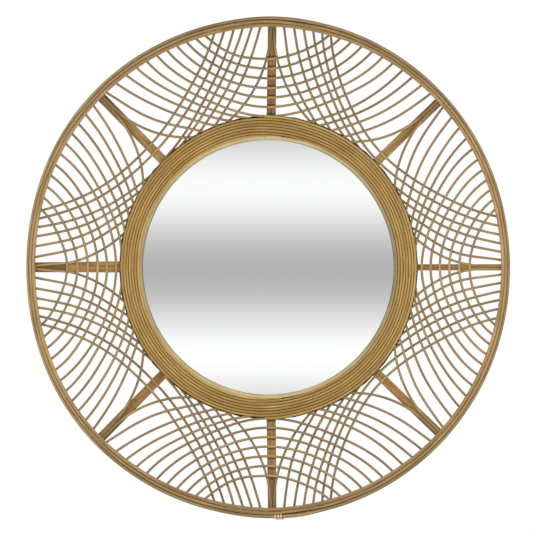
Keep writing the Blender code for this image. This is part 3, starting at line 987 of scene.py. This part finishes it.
# The board and the glass keep their solids and get their finish
boardLook = {
    "grainStretch": (5.0, 60.0, 60.0),
    "grainScale": 6.0,
    "grainDetail": 6.0,
    "grainRoughness": 0.65,
    # very dark browns: the board's stain with painted shade in them
    "colours": [(0.3, "#2C1B0D"), (0.55, "#402814"), (0.75, "#573A1E")],
    "roughness": (0.75, 0.60),
    "bump": 0.0002,
    "bumpStrength": 0.5,
}
glassLook = {"colour": "#FBFCFC", "hazeScale": 9.0, "hazeDetail": 3.0, "roughness": (0.01, 0.03)}


def boardFinish():  # plywood drawn a very dark brown, partly its dark stain and partly painted shade from the hoops over it: matt, with long faint grain
    material = bpy.data.materials.new("darkStainedAndShadedPlywood")
    material.use_nodes = True
    tree = material.node_tree
    shader = tree.nodes["Principled BSDF"]
    spot = addNode(tree, "ShaderNodeTexCoord")
    stretched = addNode(tree, "ShaderNodeMapping",
                        {"Vector": spot.outputs["Object"], "Scale": boardLook["grainStretch"]})
    grain = addNode(tree, "ShaderNodeTexNoise",
                    {"Vector": stretched.outputs[0], "Scale": boardLook["grainScale"],
                     "Detail": boardLook["grainDetail"], "Roughness": boardLook["grainRoughness"]})
    colour = addNode(tree, "ShaderNodeValToRGB", {0: grain.outputs[0]})
    setRamp(colour, boardLook["colours"])
    tree.links.new(colour.outputs[0], shader.inputs["Base Color"])
    rougher, smoother = boardLook["roughness"]
    rough = addNode(tree, "ShaderNodeMapRange",
                    {"Value": grain.outputs[0], "From Min": 0.3, "From Max": 0.7,
                     "To Min": rougher, "To Max": smoother})
    tree.links.new(rough.outputs[0], shader.inputs["Roughness"])
    bump = addNode(tree, "ShaderNodeBump",
                   {"Height": grain.outputs[0], "Strength": boardLook["bumpStrength"],
                    "Distance": boardLook["bump"]})
    tree.links.new(bump.outputs[0], shader.inputs["Normal"])
    return material


def mirrorFinish():  # silvered float glass: a clean mirror, with the faintest haze from wiping
    material = bpy.data.materials.new("silveredGlass")
    material.use_nodes = True
    tree = material.node_tree
    shader = tree.nodes["Principled BSDF"]
    spot = addNode(tree, "ShaderNodeTexCoord")
    haze = addNode(tree, "ShaderNodeTexNoise",
                   {"Vector": spot.outputs["Object"], "Scale": glassLook["hazeScale"],
                    "Detail": glassLook["hazeDetail"]})
    clear, hazy = glassLook["roughness"]
    rough = addNode(tree, "ShaderNodeMapRange",
                    {"Value": haze.outputs[0], "From Min": 0.35, "From Max": 0.7,
                     "To Min": clear, "To Max": hazy})
    tree.links.new(rough.outputs[0], shader.inputs["Roughness"])
    shader.inputs["Metallic"].default_value = 1.0
    shader.inputs["Base Color"].default_value = rgba(glassLook["colour"])
    return material


def setFinish(node, material):
    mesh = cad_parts[node].data
    mesh.materials.clear()
    mesh.materials.append(material)


setFinish("backing_board", boardFinish())
setFinish("mirror_glass", mirrorFinish())
print("board and glass ready")


# Stage: a white room, a pale floor, and a shaded card behind the camera that the mirror shows
stage = {
    "cameraDistance": 6.0,
    "filmWidth": 36.0,
    "frameWidth": 0.8576,        # what the picture's width covers at the rods
    "aim": (0.0002, -0.0011),    # the picture's centre, from the mirror's
    "floorDrop": 1.3,
    "floorSize": 6.0,
    "floorColour": "#ECEBE8",
    "roomLight": 0.36,
}
# Lengths on the card are given as the mirror shows them, at the glass
card = {
    "distance": 6.8,
    "size": 2.4,
    "waveLength": 0.2704,
    "waveShift": 0.0054,
    "greys": (0.998, 0.702),     # palest and darkest, as they show
    "palerBelow": 0.024,         # added to the grey at the glass's lower edge,
    "palerReach": 0.2,           # fading out over this much upwards
    "gamma": 2.2,
}
# Soft lamps aimed at the mirror's centre: place, width, height, power and colour
lamps = {
    "stripLight": ((0.0, -0.70, 0.0), 2.6, 0.12, 9.35, "#FFFDF8"),
    "topLight": ((0.0, -1.4, 1.6), 1.6, 0.8, 3.0, "#FFFFFF"),
    "lowLight": ((0.0, -1.4, -1.1), 1.6, 0.8, 1.7, "#FFFFFF"),
}


def makeEmission(name):
    material = bpy.data.materials.new(name)
    material.use_nodes = True
    tree = material.node_tree
    tree.nodes.remove(tree.nodes["Principled BSDF"])
    glow = addNode(tree, "ShaderNodeEmission")
    tree.links.new(glow.outputs[0], tree.nodes["Material Output"].inputs["Surface"])
    return material, tree, glow


def makePlane(name, corners, material):
    mesh = bpy.data.meshes.new(name)
    mesh.from_pydata(corners, [], [(0, 1, 2, 3)])
    mesh.materials.append(material)
    newObject(name, mesh)


def makeCard():  # its grey runs up and down in waves, as the mirror shows them
    material, tree, glow = makeEmission("shadedCard")
    cameraPlane = layers["overRods"] + stage["cameraDistance"]
    reach = (cameraPlane + card["distance"]) / stage["cameraDistance"]
    spot = addNode(tree, "ShaderNodeTexCoord")
    axes = addNode(tree, "ShaderNodeSeparateXYZ", {0: spot.outputs["Object"]})
    waveLength = card["waveLength"] * reach
    phase = addNode(tree, "ShaderNodeMath",
                    {0: axes.outputs["Z"], 1: math.tau / waveLength,
                     2: math.tau * card["waveShift"] * reach / waveLength},
                    operation="MULTIPLY_ADD")
    wave = addNode(tree, "ShaderNodeMath", {0: phase.outputs[0]}, operation="COSINE")
    palest, darkest = card["greys"]
    grey = addNode(tree, "ShaderNodeMapRange",
                   {"Value": wave.outputs[0], "From Min": -1.0, "From Max": 1.0,
                    "To Min": palest, "To Max": darkest})
    paler = addNode(tree, "ShaderNodeMapRange",
                    {"Value": axes.outputs["Z"], "From Min": -card["palerReach"] * reach, "From Max": 0.0,
                     "To Min": card["palerBelow"], "To Max": 0.0})
    lifted = addNode(tree, "ShaderNodeMath", {0: grey.outputs[0], 1: paler.outputs[0]}, operation="ADD")
    value = addNode(tree, "ShaderNodeMath", {0: lifted.outputs[0], 1: card["gamma"]}, operation="POWER")
    tree.links.new(value.outputs[0], glow.inputs["Strength"])
    half = card["size"] / 2
    y = -card["distance"]
    corners = [(-half, y, -half), (-half, y, half), (half, y, half), (half, y, -half)]
    makePlane("shadedCard", corners, material)


def makeFloor():
    material = bpy.data.materials.new("paleFloor")
    material.use_nodes = True
    shader = material.node_tree.nodes["Principled BSDF"]
    shader.inputs["Base Color"].default_value = rgba(stage["floorColour"])
    shader.inputs["Roughness"].default_value = 0.8
    half = stage["floorSize"] / 2
    z = -stage["floorDrop"]
    makePlane("floor", [(-half, -half, z), (half, -half, z), (half, half, z), (-half, half, z)], material)


def makeWorld():  # white to the eye and a softer white as light
    world = bpy.data.worlds.new("whiteRoom")
    bpy.context.scene.world = world
    world.use_nodes = True
    tree = world.node_tree
    back = tree.nodes["Background"]
    back.inputs["Color"].default_value = (1, 1, 1, 1)
    path = addNode(tree, "ShaderNodeLightPath")
    strength = addNode(tree, "ShaderNodeMapRange",
                       {"Value": path.outputs["Is Camera Ray"], "To Min": stage["roomLight"], "To Max": 1.0})
    tree.links.new(strength.outputs[0], back.inputs["Strength"])


def makeLight(name, place, width, height, power, colour):
    light = bpy.data.lights.new(name, "AREA")
    light.shape = "RECTANGLE"
    light.size = width
    light.size_y = height
    light.energy = power
    light.color = linear(colour)
    lamp = newObject(name, light)
    lamp.location = place
    lamp.rotation_euler = (-Vector(place)).to_track_quat("-Z", "Y").to_euler()
    lamp.visible_glossy = False    # the mirror doesn't show the lamps
    lamp.visible_camera = False


def makeCamera():
    data = bpy.data.cameras.new("camera")
    data.sensor_width = stage["filmWidth"]
    data.lens = stage["filmWidth"] * stage["cameraDistance"] / stage["frameWidth"]
    camera = newObject("camera", data)
    x, z = stage["aim"]
    camera.location = (x, -layers["overRods"] - stage["cameraDistance"], z)
    camera.rotation_euler = (math.radians(90), 0, 0)
    data.clip_end = 100
    bpy.context.scene.camera = camera


makeCard()
makeFloor()
makeWorld()
for name, settings in lamps.items():
    makeLight(name, *settings)
makeCamera()
bpy.context.scene.view_settings.view_transform = "Standard"
print("stage ready")
